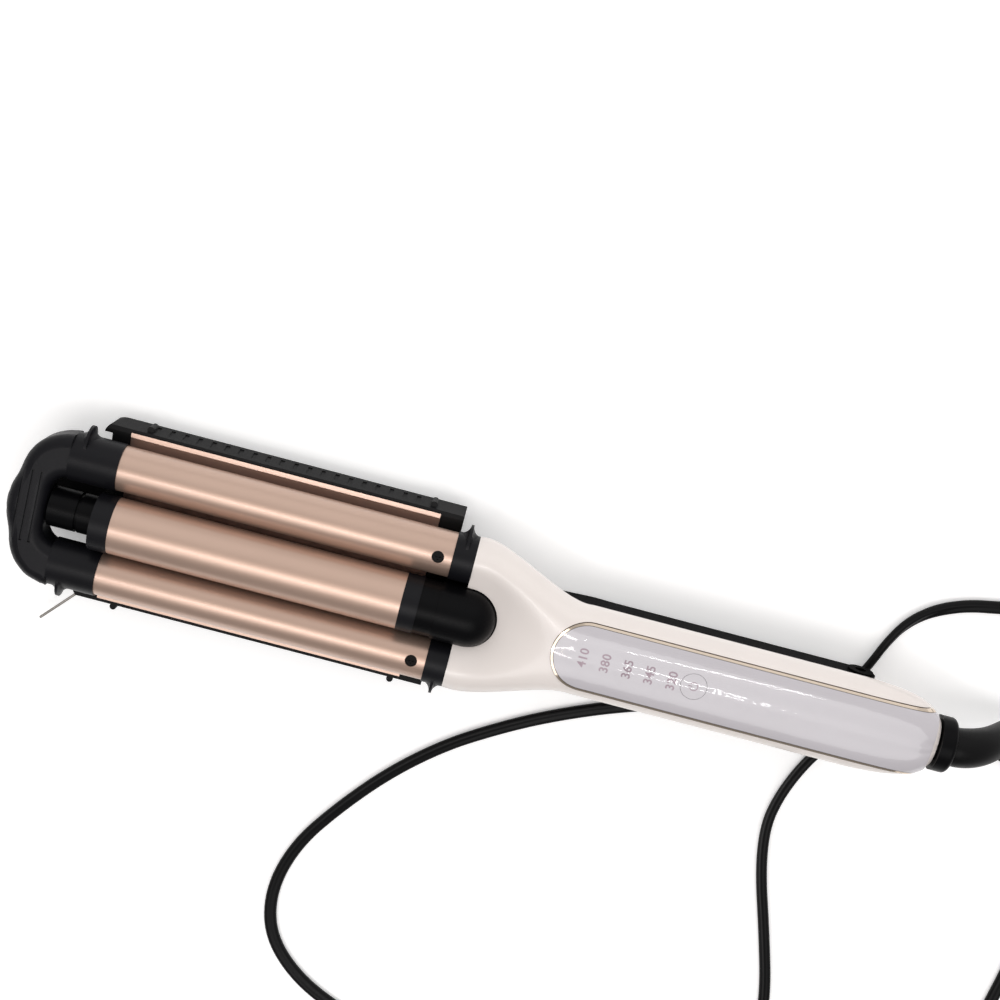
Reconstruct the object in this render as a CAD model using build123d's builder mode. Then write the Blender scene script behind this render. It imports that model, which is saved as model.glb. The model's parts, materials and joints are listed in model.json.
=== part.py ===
"""Adjustable three-barrel hair waver, in millimetres.

X runs along the tool from the barrel tip to the cord, Y across it, and Z up,
with the control panel on top and the tool lying on its lower arm.
The origin is the middle of the flat resting face under the jaw.
"""
from build123d import *
import math
import os

os.makedirs("parts", exist_ok=True)

# ---------------------------------------------------------------- driving dimensions
axis_height = 22.0  # plane of the outer barrels above the resting face

# fixed outer barrels
barrel_radius = 8.1
barrel_wall = 1.2
barrel_pitch = 19.5  # from the middle plane to each outer barrel's axis
barrel_front = -56.1
barrel_length = 119.4

# adjustable middle barrel
middle_radius = 10.1
middle_setback = 2.5  # from the outer barrels' front ends to the middle one's
middle_shortfall = 13.3  # the same at the rear
middle_lift = 4.7  # height above and below the outer barrels' plane

# moulded collars at both ends of the outer barrels
collar_radius = 8.6
tip_collar_length = 17.2
fork_collar_length = 7.7
spigot_clearance = 0.1
spigot_length = 9.5
fin_reach = 3.5
fin_offset = 5.0  # of the fin's centre outward from the collar's axis
fin_tip_half = 0.5

# yoke that joins the outer barrels at the tip
yoke_bulge = 19.1
yoke_half_width = 27.85
yoke_rounding = 4.2
yoke_slot_half_width = 12.6
yoke_slot_depth = 5.0
yoke_half_height = 7.8
rib_count = 3
rib_spacing = 3.1
rib_depth = 0.7
rib_width = 0.9
rib_half_span = 13.0

# dial that raises and lowers the middle barrel
dial_radius = 7.2
dial_length = 15.9
dial_journal_radius = 2.5
dial_journal_length = 5.4
crank_pin_radius = 1.5
crank_pin_length = 3.6
crank_angle = 60.0  # above horizontal with the barrel raised
bearing_clearance = 0.06
crank_slot_play = 0.45

# jaw under the barrels
jaw_gap = 1.2
jaw_rim_y = 30.6
jaw_rim_drop = 6.2
jaw_wall = 1.7
jaw_flare_y = 34.0
jaw_flare_drop = 15.0
jaw_overlap_front = 7.4  # beyond the outer barrels' ends
jaw_overlap_rear = 0.4
jaw_tongue = 3.0
jaw_corner = 6.0
lip_length = 16.0  # cool lip under the dial
lip_half_width = 11.5
lip_height = 6.0
plate_margin_front = 6.6  # from the jaw's ends
plate_margin_rear = 8.2
plate_thickness = 1.2
tick_pitch = 5.0
tick_count = 20
tick_depth = 0.35
nub_inset = 6.1

# upper arm: fork, handle and panel
shell_wall = 2.2
handle_half_width = 16.4
handle_underside = -1.5  # from the barrels' plane
handle_height = 16.6
handle_length = 171.3  # behind the fork collars
seam_height = 1.5
handle_taper = 30.0  # length over which the handle's rear narrows
panel_setback = 33.3  # from the fork collars
panel_half_width = 11.6
bezel_width = 0.8
panel_groove = 0.18
panel_rear_rim = 1.6
lens_thickness = 1.8
lens_proud = 0.5
button_radius = 4.6
button_gap = 0.12
button_travel = 0.5

# lower arm and its hinge
arm_half_width = 13.8
arm_fork_half_width = 21.5
arm_neck_half_width = 11.2
arm_top = -2.5
arm_bottom = -13.5
arm_fork_top = -9.6
arm_wall = 2.0
hinge_setback = 28.2  # from the handle's rear end
hinge_drop = 8.0
hinge_pin_radius = 2.0
knuckle_radius = 5.5
hinge_boss_radius = 4.6
cheek_inner = 10.2
lug_outer = 9.8
lug_inner = 4.2

# swivel and strain relief at the cord end
swivel_radius = 9.9
swivel_gap = 0.6
swivel_length = 5.7
swivel_neck_radius = 7.4
swivel_height = 6.5
boot_radius = 6.0

# supply cord, from the strain relief to the plug
cord_radius = 2.4
coil_turn_radius = 27.0
coil_band = 9.8
coil_height = 9.6
coil_centre = (268.0, -150.0)
plug_thickness = 13.0
plug_width = 22.0
plug_neck = 13.0
plug_length = 24.0
blade_spacing = 12.7
blade_width = 6.3
blade_thickness = 1.5
blade_length = 16.0
lead_radius = 0.8

# swing-out wire rest in the jaw's front corner
wire_radius = 0.5
wire_length = 26.6
wire_drop = 14.0
wire_pivot_x = -59.4
wire_pivot_y = -27.0
wire_eye_radius = 1.8
wire_pin_radius = 0.8
wire_pin_length = 8.0
wire_angle = 228.0

# ---------------------------------------------------------------- derived places
barrel_rear = barrel_front + barrel_length
middle_front = barrel_front + middle_setback
middle_rear = barrel_rear - middle_shortfall
middle_length = middle_rear - middle_front
jaw_front = barrel_front - jaw_overlap_front
jaw_rear = barrel_rear + jaw_overlap_rear
plate_front = jaw_front + plate_margin_front
plate_rear = jaw_rear - plate_margin_rear
middle_height = axis_height + middle_lift
tip_collar_front = barrel_front - tip_collar_length
fork_collar_rear = barrel_rear + fork_collar_length
handle_rear = fork_collar_rear + handle_length
panel_front = fork_collar_rear + panel_setback
hinge_x = handle_rear - hinge_setback
swivel_front = handle_rear + swivel_gap
yoke_tip = tip_collar_front - yoke_bulge
dial_rear = middle_front - 7.9
dial_front = dial_rear - dial_length
crank_radius = middle_lift / math.sin(math.radians(crank_angle))
handle_top = handle_underside + handle_height
hinge_height = axis_height - hinge_drop
sides = {"left": 1, "right": -1}


def at_barrels(x, y=0.0, z=0.0):
    """A plane across the tool, offset from the outer barrels' plane."""
    return Plane(origin=(x, y, axis_height + z), x_dir=(0, 1, 0), z_dir=(1, 0, 0))


def write(part, name):
    part.label = name
    export_step(part, f"parts/{name}.step")


# ---------------------------------------------------------------- barrels and heaters
def outer_barrel(side):
    with BuildPart() as tube:
        with BuildSketch(at_barrels(barrel_front, side * barrel_pitch)):
            Circle(barrel_radius)
            Circle(barrel_radius - barrel_wall, mode=Mode.SUBTRACT)
        extrude(amount=barrel_length)
        with BuildSketch(Plane((screw_x, side * barrel_pitch, axis_height))):
            Circle(screw_head_radius + 0.1)
        extrude(amount=barrel_radius + 1, mode=Mode.SUBTRACT)
    return tube.part


def heater_bar(start, length, y, z, width, thickness):
    """A ceramic heater in its aluminium clamp, which spans the tube it lies in."""
    with BuildPart() as bar:
        with BuildSketch(at_barrels(start, y, z)):
            RectangleRounded(width, thickness, 0.5)
        extrude(amount=length)
    return bar.part


screw_head_radius = 2.1
screw_x = barrel_rear - 5.0
heater_margin = 14.0
outer_bore = barrel_radius - barrel_wall
outer_bar_thickness = 4.0
outer_bar_width = 2 * math.sqrt((outer_bore - 0.25) ** 2 - (outer_bar_thickness / 2) ** 2)

for name, side in sides.items():
    write(outer_barrel(side), f"outer_barrel_{name}")
    outer_bar = heater_bar(
        barrel_front + heater_margin,
        barrel_length - 2 * heater_margin,
        side * barrel_pitch,
        0,
        outer_bar_width,
        outer_bar_thickness,
    )
    write(outer_bar, f"outer_heater_{name}")

with BuildPart() as middle_barrel:
    with BuildSketch(at_barrels(middle_front, 0, middle_lift)):
        Circle(middle_radius)
        Circle(middle_radius - barrel_wall, mode=Mode.SUBTRACT)
    extrude(amount=middle_length)
write(middle_barrel.part, "middle_barrel")

middle_bore = middle_radius - barrel_wall
middle_bar_thickness = 4.0
middle_bar_width = 2 * math.sqrt((middle_bore - 0.25) ** 2 - (middle_bar_thickness / 2) ** 2)
middle_bar = heater_bar(
    middle_front + heater_margin,
    middle_length - 2 * heater_margin,
    0,
    middle_lift,
    middle_bar_width,
    middle_bar_thickness,
)
write(middle_bar, "middle_heater")


# ---------------------------------------------------------------- collars with guard fins
def collar(side, front, length, fin_x, fin_half_base, spigot_end):
    """A moulded collar, its spigot in the barrel and its outward guard fin."""
    axis_y = side * barrel_pitch
    spigot_radius = outer_bore - spigot_clearance
    spigot_start = min(front, spigot_end)
    spigot_stop = max(front + length, spigot_end)
    with BuildPart() as ring:
        with BuildSketch(at_barrels(front, axis_y)):
            Circle(collar_radius)
        extrude(amount=length)
        with BuildSketch(at_barrels(spigot_start, axis_y)):
            Circle(spigot_radius)
        extrude(amount=spigot_stop - spigot_start)
        fin_height = collar_radius + fin_reach - fin_offset
        fin_foot = collar_radius - fin_offset
        fin_axis_y = side * (barrel_pitch + fin_offset)
        with BuildSketch(Plane((fin_x, fin_axis_y, axis_height))):
            with BuildLine():
                for flip in (1, -1):
                    ThreePointArc(
                        (flip * fin_half_base, side * fin_foot),
                        (flip * (0.30 * fin_half_base + 0.4), side * (fin_foot + 0.30 * fin_reach)),
                        (flip * fin_tip_half, side * fin_height),
                    )
                Line((-fin_tip_half, side * fin_height), (fin_tip_half, side * fin_height))
                Polyline(
                    (-fin_half_base, side * fin_foot),
                    (-fin_half_base, side * 0.8),
                    (fin_half_base, side * 0.8),
                    (fin_half_base, side * fin_foot),
                )
            make_face()
        revolve(axis=Axis((fin_x, fin_axis_y, axis_height), (1, 0, 0)))
        with BuildSketch(at_barrels(spigot_start, axis_y)):
            Circle(spigot_radius - 1.8)
        extrude(amount=spigot_stop - spigot_start, mode=Mode.SUBTRACT)
    return ring.part


for name, side in sides.items():
    tip_ring = collar(
        side,
        tip_collar_front,
        tip_collar_length,
        tip_collar_front + 4.4,
        3.9,
        barrel_front + spigot_length,
    )
    write(tip_ring, f"tip_collar_{name}")
    fork_ring = collar(
        side,
        barrel_rear,
        fork_collar_length,
        barrel_rear + 4.1,
        3.2,
        barrel_rear - spigot_length,
    )
    with BuildPart() as bored_ring:
        add(fork_ring)
        with BuildSketch(Plane((screw_x, side * barrel_pitch, axis_height))):
            Circle(1.0)
        extrude(amount=barrel_radius, mode=Mode.SUBTRACT)
    write(bored_ring.part, f"fork_collar_{name}")

# ---------------------------------------------------------------- barrel screws
with BuildPart() as barrel_screws:
    for side in sides.values():
        seat = axis_height + outer_bore - spigot_clearance
        with BuildSketch(Plane((screw_x, side * barrel_pitch, seat))):
            Circle(screw_head_radius)
        extrude(amount=0.7)
        with BuildSketch(Plane((screw_x, side * barrel_pitch, seat))):
            Circle(0.95)
        extrude(amount=-1.7)
        with BuildSketch(Plane((screw_x, side * barrel_pitch, seat + 0.7))):
            Rectangle(2.2, 0.5)
            Rectangle(0.5, 2.2)
        extrude(amount=-0.4, mode=Mode.SUBTRACT)
write(barrel_screws.part, "barrel_screws")

# ---------------------------------------------------------------- tip yoke
# plan of the yoke's outer edge: depth ahead of the collars and distance from the middle
yoke_edge = [
    (1.0, 0.0),
    (0.984, 3.5),
    (0.947, 6.5),
    (0.887, 9.8),
    (0.850, 12.4),
    (0.820, 15.2),
    (0.755, 18.5),
    (0.645, 21.8),
    (0.500, 24.4),
    (0.300, 26.5),
    (0.110, 27.6),
]
with BuildPart() as yoke:
    right_edge = [(tip_collar_front - yoke_bulge * depth, -y) for depth, y in yoke_edge]
    left_edge = [(tip_collar_front - yoke_bulge * depth, y) for depth, y in reversed(yoke_edge[1:])]
    with BuildSketch(Plane.XY.offset(axis_height - yoke_half_height)):
        with BuildLine():
            Spline(
                (tip_collar_front, yoke_half_width),
                *left_edge,
                *right_edge,
                (tip_collar_front, -yoke_half_width),
                tangents=((-1, 0), (1, 0)),
            )
            Line((tip_collar_front, -yoke_half_width), (tip_collar_front, yoke_half_width))
        make_face()
        with Locations((tip_collar_front + 1, 0)):
            SlotOverall(
                2 * yoke_slot_half_width, 2 * yoke_slot_depth + 2, rotation=90, mode=Mode.SUBTRACT
            )
    extrude(amount=2 * yoke_half_height)
    rims = yoke.faces().filter_by(Axis.Z).edges()
    fillet(rims.filter_by(lambda edge: edge.center().X < tip_collar_front - 0.1), yoke_rounding)
    for rib in range(rib_count):
        with Locations((yoke_tip + 5.0 + rib * rib_spacing, 0, axis_height + yoke_half_height)):
            Box(rib_width, 2 * rib_half_span, 2 * rib_depth, mode=Mode.SUBTRACT)
    with BuildSketch(at_barrels(dial_front - dial_journal_length - 0.2)):
        Circle(dial_journal_radius + bearing_clearance)
    extrude(amount=dial_journal_length + 8, mode=Mode.SUBTRACT)
write(yoke.part, "tip_yoke")

# ---------------------------------------------------------------- dial
with BuildPart() as dial:
    with BuildSketch(at_barrels(dial_front)):
        Circle(dial_radius)
    extrude(amount=dial_length)
    with BuildSketch(at_barrels(dial_front - dial_journal_length)):
        Circle(dial_journal_radius)
    extrude(amount=dial_journal_length)
    with BuildSketch(at_barrels(dial_rear - 6.2)):
        Circle(dial_radius + 1)
        Circle(dial_radius - 0.8, mode=Mode.SUBTRACT)
    extrude(amount=1.1, mode=Mode.SUBTRACT)
    crank_y = crank_radius * math.cos(math.radians(crank_angle))
    with BuildSketch(at_barrels(dial_rear, crank_y, middle_lift)):
        Circle(crank_pin_radius)
    extrude(amount=crank_pin_length)
write(dial.part, "tip_dial")

# ---------------------------------------------------------------- middle barrel's end pieces
end_ring_radius = middle_radius + 0.2
tip_ring_front = middle_front - 6.8
slot_half_height = crank_pin_radius + crank_slot_play
slot_low_y = crank_y - crank_pin_radius - crank_slot_play
slot_high_y = crank_radius + crank_pin_radius + crank_slot_play

with BuildPart() as middle_tip_ring:
    with BuildSketch(at_barrels(tip_ring_front, 0, middle_lift)):
        Circle(end_ring_radius)
    extrude(amount=middle_front - tip_ring_front)
    with BuildSketch(at_barrels(middle_front, 0, middle_lift)):
        Circle(middle_bore - spigot_clearance)
    extrude(amount=6.0)
    with BuildSketch(at_barrels(tip_ring_front, 0, middle_lift)):
        with Locations(((slot_low_y + slot_high_y) / 2, 0)):
            Rectangle(slot_high_y - slot_low_y, 2 * slot_half_height)
    extrude(amount=crank_pin_length, mode=Mode.SUBTRACT)
write(middle_tip_ring.part, "middle_tip_ring")

rear_ring_length = 6.0
with BuildPart() as middle_rear_ring:
    with BuildSketch(at_barrels(middle_rear, 0, middle_lift)):
        Circle(end_ring_radius)
    extrude(amount=rear_ring_length)
    with BuildSketch(at_barrels(middle_rear - 6.0, 0, middle_lift)):
        Circle(middle_bore - spigot_clearance)
    extrude(amount=6.0)
    with BuildSketch(at_barrels(middle_rear - 6.0, 0, middle_lift)):
        Circle(middle_bore - 3.0)
    extrude(amount=6.0 + rear_ring_length, mode=Mode.SUBTRACT)
write(middle_rear_ring.part, "middle_rear_ring")

# hood that hides the middle barrel's slide in the fork
hood_radius = 10.3
hood_front = middle_rear + rear_ring_length
hood_nose_x = middle_rear + 23.4
hood_cut_x = jaw_rear - 0.4
hood_skirt = 4.5
hood_play = 0.4
hood_wall = 1.6
tongue_half_width = 4.0
tongue_rear = hood_nose_x + 15.6


def hood_form(inset):
    """Hood drawn in by inset: a half round top with a round nose over upright walls."""
    radius = hood_radius - inset
    with BuildPart() as form:
        with BuildSketch(at_barrels(hood_front + (1.5 if inset else 0), 0, middle_lift)):
            Circle(radius)
        extrude(amount=hood_nose_x - hood_front - (1.5 if inset else 0))
        with Locations((hood_nose_x, 0, middle_height)):
            Sphere(radius)
        with BuildSketch(Plane.XY.offset(middle_height)):
            with Locations((hood_nose_x, 0)):
                Circle(radius)
            with Locations((hood_cut_x, 0)):
                Rectangle(hood_nose_x - hood_cut_x, 2 * radius, align=(Align.MIN, Align.CENTER))
        extrude(amount=-2 * hood_skirt)
    return form.part


with BuildPart() as hood:
    add(hood_form(0.0))
    with BuildSketch(at_barrels(hood_front, 0, middle_lift)):
        Circle(hood_radius + 1)
        Circle(hood_radius - 0.4, mode=Mode.SUBTRACT)
    extrude(amount=6.5, mode=Mode.SUBTRACT)
    add(hood_form(hood_wall), mode=Mode.SUBTRACT)
    with Locations((hood_cut_x, 0, middle_height - hood_skirt)):
        Box(
            40,
            40,
            20,
            align=(Align.MIN, Align.CENTER, Align.MAX),
            mode=Mode.SUBTRACT,
        )
    with Locations((hood_nose_x + 5.0, 0, middle_height - hood_skirt)):
        Box(
            tongue_rear - hood_nose_x - 5.0,
            2 * tongue_half_width,
            4.0,
            align=(Align.MIN, Align.CENTER, Align.MIN),
        )
write(hood.part, "middle_hood")


# ---------------------------------------------------------------- jaw
def wave_line(gap, y_rim):
    """Half of the jaw's wave-shaped surface, from the middle plane to the rim."""
    inner_radius = middle_radius + gap
    outer_radius = barrel_radius + gap
    middle = Vector(0, -middle_lift)
    outer = Vector(barrel_pitch, 0)
    span = (outer - middle).length
    along = (span**2 + inner_radius**2 - outer_radius**2) / (2 * span)
    across = math.sqrt(inner_radius**2 - along**2)
    direction = (outer - middle).normalized()
    cusp = middle + direction * along + Vector(direction.Y, -direction.X) * across
    rim = Vector(y_rim, -jaw_rim_drop)
    reach = rim - outer
    tangent_angle = math.atan2(reach.Y, reach.X) - math.acos(outer_radius / reach.length)
    contact = outer + Vector(math.cos(tangent_angle), math.sin(tangent_angle)) * outer_radius
    return middle, outer, inner_radius, outer_radius, cusp, contact, rim


def jaw_profile(gap, y_rim, under):
    """The wave surface closed below by a list of points from rim to rim."""
    middle, outer, inner_radius, outer_radius, cusp, contact, rim = wave_line(gap, y_rim)
    low = middle - Vector(0, inner_radius)
    valley = outer - Vector(0, outer_radius)
    mirror_x = [(-x, y) for x, y in reversed(under)]
    with BuildSketch(Plane.XY, mode=Mode.PRIVATE) as profile:
        with BuildLine():
            for flip in (1, -1):
                dip = middle + Vector(math.cos(math.radians(-40)), math.sin(math.radians(-40))) * inner_radius
                ThreePointArc((0, low.Y), (flip * dip.X, dip.Y), (flip * cusp.X, cusp.Y))
                bend = outer + Vector(-math.cos(math.radians(58)), -math.sin(math.radians(58))) * outer_radius
                ThreePointArc((flip * cusp.X, cusp.Y), (flip * bend.X, bend.Y), (flip * contact.X, contact.Y))
                Line((flip * contact.X, contact.Y), (flip * rim.X, rim.Y))
            Polyline((rim.X, rim.Y), *under, *mirror_x, (-rim.X, rim.Y))
        make_face()
    return profile.sketch


jaw_bottom = -axis_height
cover_under = [
    (jaw_rim_y + jaw_wall, -jaw_rim_drop),
    (jaw_flare_y, -jaw_flare_drop),
    (jaw_flare_y - 2.4, -jaw_flare_drop - 4.6),
    (jaw_flare_y - 8.0, jaw_bottom),
]
cavity_under = [
    (jaw_flare_y - jaw_wall, -jaw_flare_drop),
    (jaw_flare_y - 2.4 - jaw_wall, -jaw_flare_drop - 3.6),
    (jaw_flare_y - 8.6, jaw_bottom + jaw_wall),
]
cover_section = jaw_profile(jaw_gap, jaw_rim_y, cover_under)
cavity_right = [(jaw_rim_y, 0), *cavity_under]
cavity_left = [(-y, z) for y, z in reversed(cavity_right)]
plate_edge = jaw_rim_y - 0.1

with BuildPart() as jaw_cover:
    with BuildSketch(at_barrels(jaw_front - jaw_tongue)):
        add(cover_section)
    extrude(amount=jaw_rear - jaw_front + jaw_tongue)
    with Locations((jaw_front - jaw_tongue, 0, 0)):
        Box(
            jaw_tongue,
            2 * (jaw_rim_y - 1.4),
            axis_height * 2,
            align=(Align.MIN, Align.CENTER, Align.MIN),
            mode=Mode.SUBTRACT,
        )
    with BuildSketch(Plane.XY) as jaw_plan:
        with Locations((jaw_front - jaw_tongue, 0)):
            Rectangle(
                jaw_rear - jaw_front + jaw_tongue + 20,
                2 * jaw_flare_y,
                align=(Align.MIN, Align.CENTER),
            )
        fillet(jaw_plan.vertices().group_by(Axis.X)[0], jaw_corner)
    extrude(amount=3 * axis_height, mode=Mode.INTERSECT)
    with Locations((jaw_front + 1.0, 0, 0)):
        Box(
            lip_length + jaw_tongue + 1.0,
            2 * lip_half_width,
            lip_height,
            align=(Align.MAX, Align.CENTER, Align.MIN),
        )
    with BuildSketch(at_barrels(plate_front)):
        with BuildLine():
            Polyline(*cavity_right, *cavity_left, close=True)
        make_face()
    extrude(amount=plate_rear - plate_front, mode=Mode.SUBTRACT)
    tick_start = plate_front + 8.2
    flank_lean = math.degrees(math.atan2(jaw_flare_y - jaw_rim_y - jaw_wall, jaw_flare_drop - jaw_rim_drop))
    for side in sides.values():
        for tick in range(tick_count):
            tick_place = (tick_start + tick * tick_pitch, side * (jaw_flare_y - 0.81), axis_height - 10.8)
            with Locations(Location(tick_place, (side * flank_lean, 0, 0))):
                Box(1.5, tick_depth * 2, 5.0, mode=Mode.SUBTRACT)
        for nub_x in (plate_front + nub_inset, plate_rear - 3.3):
            with Locations((nub_x, side * (jaw_flare_y - 0.6), axis_height - 11.0)):
                Cylinder(1.2, 7.0)
    wire_slot_z = axis_height - wire_drop
    wire_slot = 2 * wire_radius + 0.8
    with Locations((wire_pivot_x, wire_pivot_y, wire_slot_z)):
        Cylinder(wire_eye_radius + 0.3, wire_slot, mode=Mode.SUBTRACT)
        Cylinder(wire_pin_radius, wire_pin_length, mode=Mode.SUBTRACT)
    with Locations((wire_pivot_x + 1.0, wire_pivot_y + 1.0, wire_slot_z)):
        Box(
            14.0,
            14.0,
            wire_slot,
            align=(Align.MAX, Align.MAX, Align.CENTER),
            mode=Mode.SUBTRACT,
        )
write(jaw_cover.part, "jaw_cover")

middle_pt, outer_pt, inner_r, outer_r, cusp_pt, contact_pt, rim_pt = wave_line(jaw_gap, plate_edge)
plate_under = [
    (plate_edge, -jaw_rim_drop - plate_thickness),
    (contact_pt.X + 0.3, contact_pt.Y - plate_thickness),
    (barrel_pitch - 3.0, -outer_r - plate_thickness),
    (12.6, -10.4),
    (9.2, -14.3),
    (4.6, -16.9),
    (0.6, -16.0 - plate_thickness - 0.1),
]
with BuildPart() as jaw_plate:
    with BuildSketch(at_barrels(plate_front + 0.1)):
        add(jaw_profile(jaw_gap, plate_edge, plate_under))
    extrude(amount=plate_rear - plate_front - 0.2)
write(jaw_plate.part, "jaw_plate")

jaw_heater_thickness = 2.2
with BuildPart() as jaw_heater:
    for side in sides.values():
        heater_top = axis_height - outer_r - plate_thickness
        with Locations((0, side * barrel_pitch, heater_top - 0.1)):
            Box(86.0, 5.0, jaw_heater_thickness, align=(Align.CENTER, Align.CENTER, Align.MAX))
write(jaw_heater.part, "jaw_heaters")

with BuildPart() as heater_clips:
    for side in sides.values():
        clip_top = heater_top - 0.1 - jaw_heater_thickness
        clip_base = jaw_wall
        for clip_x in (-34.0, 0.0, 34.0):
            with Locations((clip_x, side * barrel_pitch, clip_base + 0.1)):
                Box(9.0, 6.0, clip_top - clip_base - 0.2, align=(Align.CENTER, Align.CENTER, Align.MIN))
write(heater_clips.part, "heater_clips")


# ---------------------------------------------------------------- lower arm
arm_front = jaw_rear
foot_end = fork_collar_rear + 29.8
rise_end = foot_end + 24.0
neck_top_front = foot_end - 2.0
neck_top_rear = neck_top_front + 18.0
neck_x = fork_collar_rear + 30.5
slim_front = neck_x + 26.0
cavity_rear = hinge_x - 12.0


def arm_outline(inset):
    """Plan of the lower arm: as wide as the jaw, then necked to a slim handle."""
    wide = arm_fork_half_width - inset
    neck = arm_neck_half_width - inset
    slim = arm_half_width - inset
    with BuildSketch(Plane.XY, mode=Mode.PRIVATE) as plan:
        with BuildLine():
            for flip in (1, -1):
                Line((arm_front + inset, flip * 0), (arm_front + inset, flip * wide))
                Spline(
                    (arm_front + inset, flip * wide),
                    (neck_x - 24.0, flip * (wide - 1.4)),
                    (neck_x - 13.0, flip * (neck + 4.6)),
                    (neck_x, flip * neck),
                    (neck_x + 11.0, flip * (neck + 1.5)),
                    (slim_front, flip * slim),
                    tangents=((1, 0), (1, 0)),
                )
                Line((slim_front, flip * slim), (hinge_x + knuckle_radius - inset, flip * slim))
                Line(
                    (hinge_x + knuckle_radius - inset, flip * slim),
                    (hinge_x + knuckle_radius - inset, 0),
                )
        make_face()
    return plan.sketch


def arm_side(inset, lift=0.0):
    """Side view of the lower arm: flat foot, raised handle and round knuckle.

    With a lift it is the arm's cavity, open above and square at the rear.
    """
    base = inset
    low = axis_height + arm_bottom + inset
    high = axis_height + arm_top - inset + lift
    fork_high = axis_height + arm_fork_top - inset + lift
    with BuildSketch(Plane.XY, mode=Mode.PRIVATE) as view:
        with BuildLine():
            Line((arm_front + inset, base), (foot_end, base))
            Bezier((foot_end, base), (foot_end + 10, base), (rise_end - 12, low), (rise_end, low))
            if lift:
                Polyline((rise_end, low), (cavity_rear, low), (cavity_rear, high))
            else:
                Line((rise_end, low), (hinge_x, low))
                RadiusArc((hinge_x, low), (hinge_x, high), -knuckle_radius)
                Line((hinge_x, high), (cavity_rear, high))
            Polyline(
                (cavity_rear, high),
                (neck_top_rear, high),
                (neck_top_front, fork_high),
                (arm_front + inset, fork_high),
                (arm_front + inset, base),
            )
        make_face()
    return view.sketch



with BuildPart() as lower_handle:
    with BuildSketch(Plane.XY):
        add(arm_outline(0.0))
    extrude(amount=axis_height)
    with BuildSketch(Plane.XZ):
        add(arm_side(0.0))
    extrude(amount=60, both=True, mode=Mode.INTERSECT)
    with BuildPart(mode=Mode.PRIVATE) as arm_cavity:
        with BuildSketch(Plane.XY):
            add(arm_outline(arm_wall))
        extrude(amount=axis_height + 5)
        with BuildSketch(Plane.XZ):
            add(arm_side(arm_wall, lift=6.0))
        extrude(amount=60, both=True, mode=Mode.INTERSECT)
    add(arm_cavity.part, mode=Mode.SUBTRACT)
    with Locations(Plane((hinge_x, 0, hinge_height), z_dir=(0, 1, 0))):
        Cylinder(hinge_boss_radius, 2 * (arm_half_width + 0.8))
    with Locations((hinge_x - knuckle_radius - 1.8, 0, 0)):
        Box(
            30,
            2 * cheek_inner,
            60,
            align=(Align.MIN, Align.CENTER, Align.CENTER),
            mode=Mode.SUBTRACT,
        )
    with Locations(Plane((hinge_x, 0, hinge_height), z_dir=(0, 1, 0))):
        Cylinder(hinge_pin_radius + bearing_clearance, 60, mode=Mode.SUBTRACT)
write(lower_handle.part, "lower_handle")

lid_thickness = 1.5
with BuildPart() as lower_handle_lid:
    with BuildSketch(Plane.XY):
        add(arm_outline(arm_wall + 0.1))
    extrude(amount=axis_height)
    with BuildSketch(Plane.XZ):
        add(arm_side(0.0))
    extrude(amount=60, both=True, mode=Mode.INTERSECT)
    with BuildSketch(Plane.XZ):
        add(arm_side(0.0).moved(Location((0, -lid_thickness))))
    extrude(amount=60, both=True, mode=Mode.SUBTRACT)
    with Locations((cavity_rear - 0.1, 0, 0)):
        Box(60, 60, 60, align=(Align.MIN, Align.CENTER, Align.CENTER), mode=Mode.SUBTRACT)
write(lower_handle_lid.part, "lower_handle_lid")

# ---------------------------------------------------------------- wire rest
with BuildPart() as wire_rest:
    with BuildSketch(Plane((wire_pivot_x, wire_pivot_y, wire_slot_z - wire_radius))):
        Circle(wire_eye_radius)
        Circle(wire_pin_radius + bearing_clearance, mode=Mode.SUBTRACT)
    extrude(amount=2 * wire_radius)
    leg_direction = Vector(math.cos(math.radians(wire_angle)), math.sin(math.radians(wire_angle)), 0)
    leg_start = Vector(wire_pivot_x, wire_pivot_y, wire_slot_z) + leg_direction * (wire_eye_radius - 0.5)
    with BuildSketch(Plane(leg_start, z_dir=leg_direction)):
        Circle(wire_radius)
    extrude(amount=wire_length - wire_eye_radius + 0.5)
write(wire_rest.part, "wire_rest")

with BuildPart() as wire_pin:
    with Locations((wire_pivot_x, wire_pivot_y, wire_slot_z)):
        Cylinder(wire_pin_radius, wire_pin_length)
write(wire_pin.part, "wire_rest_pin")

# ---------------------------------------------------------------- upper arm shells
# the upper arm's outlines, with heights above the barrels' plane: distance from the collars,
# side lobe's centre y, centre z, half width and half height, then the shoulder between
# lobe and middle (y, top z, low z, lean in degrees), then the middle's top and low z
fork_stations = [
    (0.0, 19.5, 0.0, 8.6, 8.6, 13.2, 5.9, -5.9, 40.0, 3.0, -3.6),
    (8.0, 18.9, 0.6, 8.7, 8.6, 12.5, 6.8, -5.2, 40.0, 4.2, -4.0),
    (18.0, 15.2, 2.9, 9.0, 8.6, 8.8, 9.8, -4.6, 22.0, 8.2, -3.9),
    (28.0, 11.3, 5.0, 8.8, 8.5, 5.4, 13.3, -3.1, 6.0, 12.9, -2.9),
    (36.0, 8.9, 6.4, 8.35, 8.25, 4.2, 14.85, -1.8, 0.0, 14.9, -1.8),
    (44.0, 8.15, 6.85, 8.25, 8.1, 4.0, 15.12, -1.45, 0.0, 15.2, -1.5),
]
# the handle's rear: distance from its end, half width, top and low z
rear_stations = [
    (20.0, 16.0, 15.17, -1.5),
    (10.0, 14.6, 14.9, -1.37),
    (3.4, 11.8, 14.27, -1.02),
    (0.0, 8.5, 13.4, -0.4),
]


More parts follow.
